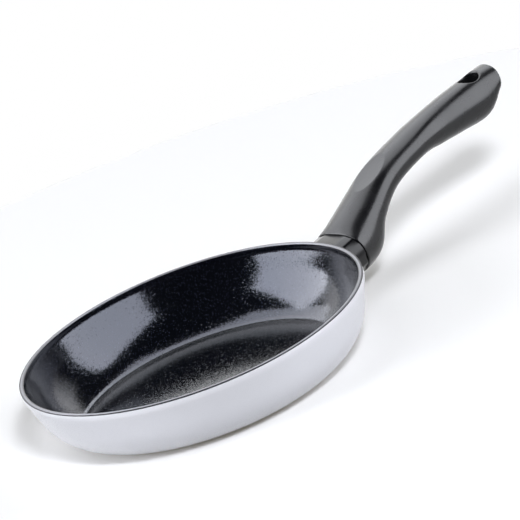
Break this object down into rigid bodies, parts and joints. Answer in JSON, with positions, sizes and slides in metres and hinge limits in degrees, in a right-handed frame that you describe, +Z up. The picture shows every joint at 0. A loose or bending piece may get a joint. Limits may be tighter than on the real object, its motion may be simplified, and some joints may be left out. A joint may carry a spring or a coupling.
{
  "type": "frying pan",
  "caption": "Round frying pan with a flared white outside, a dark speckled non-stick inside and a long black moulded handle with a hanging hole.",
  "frame": {"origin": "middle of the pan's underside, on the surface that it stands on", "axes": "+Z up, +X from the pan's middle along the handle, +Y across the pan"},
  "size_m": [0.4313, 0.24, 0.0831],
  "materials": {
    "pan_aluminium": "polished at the bare rim, hidden elsewhere under the coatings",
    "nonstick_ceramic": "satin dark non-stick coating with fine light granite specks",
    "white_enamel": "smooth semi-gloss white enamel",
    "dark_coating": "satin dark coating line under the rim",
    "base_steel": "turned steel disc",
    "boss_steel": "bare machined steel",
    "guard_enamel": "satin black",
    "handle_phenolic": "smooth satin black moulding",
    "screw_steel": "zinc-plated screw",
    "washer_steel": "spring steel"
  },
  "bodies": {
    "root": {"pan_body": "pan_aluminium", "nonstick_lining": "nonstick_ceramic", "outer_enamel": "white_enamel", "rim_line": "dark_coating", "base_disc": "base_steel", "weld_boss": "boss_steel", "flame_guard": "guard_enamel", "handle_grip": "handle_phenolic", "handle_screw": "screw_steel", "spring_washer": "washer_steel"}
  },
  "joints": []
}
